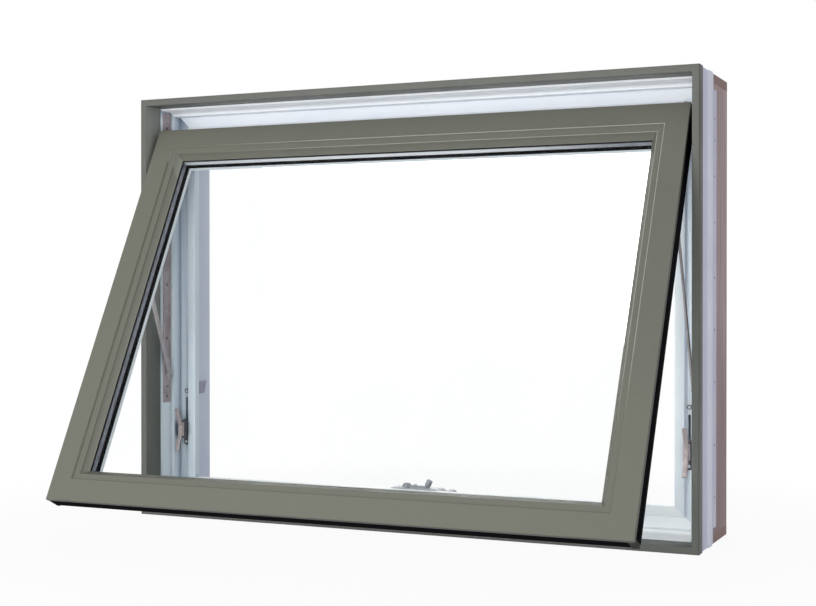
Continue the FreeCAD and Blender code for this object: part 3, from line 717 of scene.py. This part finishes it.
nails = {"heights": (0.813, 0.772, 0.703, 0.616, 0.51, 0.41, 0.31, 0.19, 0.09), "radius": 0.0021,
         "proud": 0.00025}
stripLow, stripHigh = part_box("fixing_strips")
nailDepth = (stripLow.y + stripHigh.y) / 2
nailPlaces = []
for turn in (-1, 1):
    for z in nails["heights"]:
        nailPlaces.append((Vector((turn * stripHigh.x, nailDepth, z)), (turn, 0, 0)))
addFasteners("strip_nails", nailPlaces, headProfile("nail", nails["radius"], nails["proud"]), ("nail",),
             "hinge_steel")

# Screws of the hinge tracks, on the channel's floor and on the foot plate
trackScrews = {"heights": (0.252, 0.381, 0.4985, 0.616, 0.70, 0.845), "floor": 0.0195,
               "plateHeights": (0.274, 0.32), "plate": 0.0215, "radius": 0.0034, "height": 0.0014}
trackLow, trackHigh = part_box("hinge_track_left")
trackMiddle = (trackLow.y + trackHigh.y) / 2
trackPlaces = []
for turn in (-1, 1):
    for inset, heights in (("floor", "heights"), ("plate", "plateHeights")):
        x = turn * (cadHigh.x - trackScrews[inset])
        for z in trackScrews[heights]:
            trackPlaces.append((Vector((x, trackMiddle, z)), (-turn, 0, 0)))
addFasteners("track_screws", trackPlaces, headProfile("pan", trackScrews["radius"], trackScrews["height"]),
             ("screw",), "hinge_steel")

# Rivets of the stay arms, at the foot and at the sash
rivets = {"armFace": 0.0291, "footHeight": 0.298, "radius": 0.0046, "height": 0.0016,
          "sashBehind": 0.063, "sashBelow": 0.2753}
rivetPlaces = []
for turn in (-1, 1):
    x = turn * (cadHigh.x - rivets["armFace"])
    rivetPlaces.append((Vector((x, trackMiddle, rivets["footHeight"])), (-turn, 0, 0)))
    rivetPlaces.append((onSash(x, rivets["sashBehind"], rivets["sashBelow"]), (-turn, 0, 0)))
addFasteners("arm_rivets", rivetPlaces, headProfile("rivet", rivets["radius"], rivets["height"]),
             ("steel",), "hinge_steel")

# Ringed screws over and under each lock, their dark ring painted shade of the countersink round the pale
# centre; places are (depth, height)
lockLine = 0.044
lockScrews = {"places": ((0.015, 0.262), (0.0132, 0.149)), "radius": 0.0048, "height": 0.002, "sides": 20,
              "paleFrom": 4}
lockScrewPlaces = []
for turn in (-1, 1):
    for depth, z in lockScrews["places"]:
        lockScrewPlaces.append((Vector((turn * (cadHigh.x - lockLine), depth, z)), (0, -1, 0)))
addFasteners("lock_screws", lockScrewPlaces,
             headProfile("washer", lockScrews["radius"], lockScrews["height"]),
             ("lockBody", "screwCentre"), "hinge_steel", sides=lockScrews["sides"],
             paleFrom=lockScrews["paleFrom"])
print("nails, screws and rivets set")


# Dark strips in the slots that the lock bars run in, as painted shade of the slots, and the plates that
# carry the locks

slotShadePlate = {"length": 0.103, "width": 0.0046, "middle": 0.196, "front": 0.0165, "thickness": 0.001,
              "arc": 8}
lockPlate = {"length": 0.059, "width": 0.0125, "middle": 0.171, "front": 0.0132, "thickness": 0.0018,
             "arc": 8,
             "edges": {"radius": 0.0004, "segments": 2, "leastLength": 0.0005, "leastAngle": 40.0}}


def addRoundEnded(shape, setting, turn):
    # upright flat bar with round ends, on the lock's line of one jamb
    half = setting["width"] / 2
    reach = setting["length"] / 2 - half
    x = turn * (cadHigh.x - lockLine)
    outline = []
    for end, startAngle in ((1, 0.0), (-1, math.pi)):
        for k in range(setting["arc"] + 1):
            angle = startAngle + math.pi * k / setting["arc"]
            z = setting["middle"] + end * reach + half * math.sin(angle)
            outline.append((x + half * math.cos(angle), z))
    back = setting["front"] + setting["thickness"]
    frontRow = [shape.verts.new((px, setting["front"], pz)) for px, pz in outline]
    backRow = [shape.verts.new((px, back, pz)) for px, pz in outline]
    closeSleeve(shape, frontRow, backRow)


def closeSleeve(shape, first, last):
    # solid between two rows of points that face each other
    shape.faces.new(first)
    shape.faces.new(list(reversed(last)))
    for k in range(len(first)):
        following = (k + 1) % len(first)
        shape.faces.new((first[k], last[k], last[following], first[following]))


shades = bmesh.new()
plates = bmesh.new()
for turn in (-1, 1):
    addRoundEnded(shades, slotShadePlate, turn)
    addRoundEnded(plates, lockPlate, turn)
finishPiece(shades, "slot_shades", ("slotShade",))
bmesh.ops.recalc_face_normals(plates, faces=plates.faces)
roundEdges(plates, **lockPlate["edges"])
finishPiece(plates, "lock_plates", ("lockBody",))
print("slot linings and lock plates set")


# Corners of the seal strip, and the key at the end of its lower run

sealCorner = {"proud": 0.0005, "inset": 0.0082, "front": 0.0092, "back": 0.0402,
              "keyLength": 0.0135, "keyProud": 0.0002,
              "edges": {"radius": 0.0005, "segments": 2, "leastLength": 0.001, "leastAngle": 40.0}}


def addSashBlock(shape, sides, levels):
    depths = (sealCorner["front"], sealCorner["back"])
    box = [[[shape.verts.new(onSash(x, depth, below)) for below in levels] for depth in depths]
           for x in sides]
    for a in (0, 1):
        shape.faces.new((box[a][0][0], box[a][0][1], box[a][1][1], box[a][1][0]))
        shape.faces.new((box[0][a][0], box[0][a][1], box[1][a][1], box[1][a][0]))
        shape.faces.new((box[0][0][a], box[0][1][a], box[1][1][a], box[1][0][a]))


def finishBlocks(shape, name, finishName):
    bmesh.ops.recalc_face_normals(shape, faces=shape.faces)
    roundEdges(shape, **sealCorner["edges"])
    finishPiece(shape, name, (finishName,))


def makeSealCorners():
    s = sealCorner
    halfWidth = sash["width"] / 2
    height = sash["height"]
    upper = (s["proud"], s["inset"])
    leftSides = (s["proud"] - halfWidth, s["inset"] - halfWidth)
    rightSides = (halfWidth - s["proud"], halfWidth - s["inset"])
    corners = bmesh.new()
    addSashBlock(corners, leftSides, upper)
    addSashBlock(corners, leftSides, (height - s["inset"], height - s["proud"]))
    addSashBlock(corners, rightSides, upper)
    finishBlocks(corners, "seal_corners", "rubber")
    key = bmesh.new()
    keySides = (halfWidth - s["proud"], halfWidth - s["keyLength"])
    addSashBlock(key, keySides, (height - s["inset"], height - s["keyProud"]))
    finishBlocks(key, "seal_end_key", "key")


makeSealCorners()

# Fin of the seal strip down each stile
sealFin = {"inset": 0.0011, "width": 0.0034, "start": 0.0382, "reach": 0.0098, "endGap": 0.010, "arc": 8}


def makeSealFins():
    shape = bmesh.new()
    half = sealFin["width"] / 2
    middle = sealFin["inset"] + half
    tipStart = sealFin["start"] + sealFin["reach"] - half
    section = [(middle - half, sealFin["start"]), (middle + half, sealFin["start"])]
    for k in range(sealFin["arc"] + 1):
        angle = math.pi * k / sealFin["arc"]
        section.append((middle + half * math.cos(angle), tipStart + half * math.sin(angle)))
    for turn in (-1, 1):
        rows = []
        for below in (sealFin["endGap"], sash["height"] - sealFin["endGap"]):
            places = [onSash(turn * (sash["width"] / 2 - inset), depth, below) for inset, depth in section]
            rows.append([shape.verts.new(place) for place in places])
        closeSleeve(shape, *rows)
    finishPiece(shape, "stile_seal_fins", ("rubber",))


makeSealFins()
print("seal corners and fins set")


# Crank, operator cover and locks

crank = {"hub": (-0.0375, 0.040, 0.0735), "hubRadius": 0.010, "hubHeight": 0.009, "hubWall": 0.25,
         "hubArc": 7, "hubSides": 32, "reach": 0.046, "leverWidth": 0.012, "leverTip": 0.010,
         "leverNose": 0.004, "noseShare": 1 / 3, "leverThickness": 0.004, "lean": math.radians(27),
         "knobRadius": 0.0064, "knobLength": 0.0155, "knobSides": 28,
         "knuckle": 0.019, "knuckleRadius": 0.0055, "knuckleHeight": 0.0064, "knuckleSides": 24}


def addHub(shape, hub):
    # short wall with a dome over it
    radius = crank["hubRadius"]
    height = crank["hubHeight"]
    dome = [(radius, 0.0)]
    for k in range(crank["hubArc"]):
        angle = math.pi / 2 * k / crank["hubArc"]
        up = crank["hubWall"] + (1 - crank["hubWall"]) * math.sin(angle)
        dome.append((radius * math.cos(angle), height * up))
    dome.append((0, height))
    addTurned(shape, dome, hub, (0, 0, 1), crank["hubSides"])


def addLever(shape, hub, tip):
    # flat bar that narrows to a nose past the knob
    halves = ((hub.x, crank["leverWidth"] / 2), (tip.x, crank["leverTip"] / 2),
              (tip.x + crank["leverNose"], crank["leverTip"] * crank["noseShare"]))
    outline = [(x, hub.y - half) for x, half in halves]
    outline += [(x, hub.y + half) for x, half in reversed(halves)]
    top = hub.z + crank["leverThickness"]
    high = [shape.verts.new((x, y, top)) for x, y in outline]
    low = [shape.verts.new((x, y, hub.z)) for x, y in outline]
    closeSleeve(shape, high, low)


def makeCrank():
    shape = bmesh.new()
    hub = Vector(crank["hub"])
    tip = hub + Vector((crank["reach"], 0, 0))
    addHub(shape, hub)
    addLever(shape, hub, tip)
    knuckle = headProfile("rivet", crank["knuckleRadius"], crank["knuckleHeight"])
    addTurned(shape, knuckle, hub + Vector((crank["knuckle"], 0, 0)), (0, 0, 1), crank["knuckleSides"])
    knob = headProfile("knob", crank["knobRadius"], crank["knobLength"])
    knobFoot = tip + Vector((0, 0, crank["knobRadius"] * math.sin(crank["lean"])))
    way = Vector((math.sin(crank["lean"]), 0, math.cos(crank["lean"])))
    addTurned(shape, knob, knobFoot, way, crank["knobSides"])
    piece = finishPiece(shape, "folding_crank", ("silver",), smoothAngle=50.0)
    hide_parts("crank_handle")


makeCrank()

coverEdges = {"radius": 0.0025, "segments": 4, "leastLength": 0.0005, "leastAngle": 25.0}
coverShape = startCopy("operator_cover")
roundEdges(coverShape, **coverEdges)
coverPiece = finishPiece(coverShape, "moulded_cover", ("silver",), smoothAngle=30.0)
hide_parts("operator_cover")

# Locks with a pale bow before a dark body
lockEdges = {"radius": 0.0006, "segments": 2, "leastLength": 0.001, "leastAngle": 20.0}
lockBodyFront = -0.0085
for lockName in ("lock_left", "lock_right"):
    lockShape = startCopy(lockName)
    roundEdges(lockShape, **lockEdges)
    for face in lockShape.faces:
        face.material_index = 1 if face.calc_center_median().y > lockBodyFront else 0
    lockPiece = finishPiece(lockShape, "cast_" + lockName, ("bow", "lockBody"))
    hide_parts(lockName)
print("crank, cover and locks made")


# Stage, light and camera

stage = {"floorHalf": 30.0, "floorDrop": 0.0005, "floorTone": (0.85, 0.85, 0.85, 1), "shadowKept": 0.07,
         "shadowReach": (0.7, 1.3), "frontAmbient": 0.6, "backAmbient": 0.3, "ambientTurn": (-0.25, 0.25)}
lamps = {
    "front_lamp": {"place": (-1.2, -3.2, 0.5), "aim": (0.0, 0.0, 0.5), "power": 56.0, "size": 2.0},
    "right_lamp": {"place": (1.2, -3.2, 0.3), "aim": (0.0, 0.0, 0.5), "power": 23.0, "size": 1.6},
    "floor_lamp": {"place": (0.2, -1.5, 0.03), "aim": (0.2, -0.7, 0.9), "power": 9.0, "size": 1.4},
    "back_lamp": {"place": (-1.0, 3.4, 1.4), "aim": (0.0, 0.0, 0.45), "power": 38.0, "size": 2.4},
}


def seenDirectly(tree):
    path = addNode(tree, "LightPath")
    seen = maths(tree, "MAXIMUM", path.outputs["Is Camera Ray"], path.outputs["Is Glossy Ray"])
    return maths(tree, "MAXIMUM", seen, path.outputs["Is Transmission Ray"])


def finishFloor():
    # white to the eye, with a share of the true shade kept near the window
    material, tree, shader = startMaterial("floor_white", Roughness=0.9, Specular_IOR_Level=0.1)
    shader.inputs["Base Color"].default_value = stage["floorTone"]
    away = addNode(tree, "VectorMath", {0: objectPlace(tree)}, operation="LENGTH").outputs["Value"]
    kept = ramp(tree, away, *stage["shadowReach"], stage["shadowKept"], 0.0)
    glow = addNode(tree, "Emission", {"Color": (1, 1, 1, 1), "Strength": 1.0})
    factor = maths(tree, "MULTIPLY", seenDirectly(tree), maths(tree, "SUBTRACT", 1.0, kept))
    both = addNode(tree, "MixShader", {0: factor, 1: shader.outputs[0], 2: glow.outputs[0]})
    leave = next(n for n in tree.nodes if n.type == "OUTPUT_MATERIAL")
    tree.links.new(both.outputs[0], leave.inputs["Surface"])
    return material


def makeFloor():
    shape = bmesh.new()
    half = stage["floorHalf"]
    corners = ((-half, -half), (half, -half), (half, half), (-half, half))
    shape.faces.new([shape.verts.new((x, y, -stage["floorDrop"])) for x, y in corners])
    mesh = bpy.data.meshes.new("studio_floor")
    shape.to_mesh(mesh)
    shape.free()
    mesh.materials.append(finishFloor())
    floor = bpy.data.objects.new("studio_floor", mesh)
    scene.collection.objects.link(floor)


def makeWorld():
    # white to the eye; the half before the window lights it more than the half behind
    world = bpy.data.worlds.new("studio")
    scene.world = world
    world.use_nodes = True
    tree = world.node_tree
    back = next(n for n in tree.nodes if n.type == "BACKGROUND")
    back.inputs["Color"].default_value = (1, 1, 1, 1)
    way = axesOf(tree, addNode(tree, "TexCoord").outputs["Generated"])
    ambient = ramp(tree, way["Y"], *stage["ambientTurn"], stage["frontAmbient"], stage["backAmbient"])
    strength = maths(tree, "MAXIMUM", seenDirectly(tree), ambient)
    tree.links.new(strength, back.inputs["Strength"])


def addLamp(name, setting):
    lamp = bpy.data.lights.new(name, "AREA")
    lamp.energy = setting["power"]
    lamp.size = setting["size"]
    holder = bpy.data.objects.new(name, lamp)
    scene.collection.objects.link(holder)
    holder.location = setting["place"]
    holder.visible_camera = False
    way = Vector(setting["aim"]) - Vector(setting["place"])
    holder.rotation_euler = way.to_track_quat("-Z", "Y").to_euler()


view = {"eye": (1.2026, -2.7182, 0.4789), "turn": 24.18, "pitch": -0.362, "focalPixels": 1440.0,
        "imageWidth": 816.0, "sensor": 36.0}


def makeCamera():
    data = bpy.data.cameras.new("photo_view")
    data.sensor_width = view["sensor"]
    data.lens = view["focalPixels"] / view["imageWidth"] * view["sensor"]
    camera = bpy.data.objects.new("photo_view", data)
    scene.collection.objects.link(camera)
    camera.location = view["eye"]
    camera.rotation_euler = (math.radians(90 + view["pitch"]), 0.0, math.radians(view["turn"]))
    scene.camera = camera


makeFloor()
makeWorld()
for lampName, lampSetting in lamps.items():
    addLamp(lampName, lampSetting)
makeCamera()
print("stage, lamps and camera set")
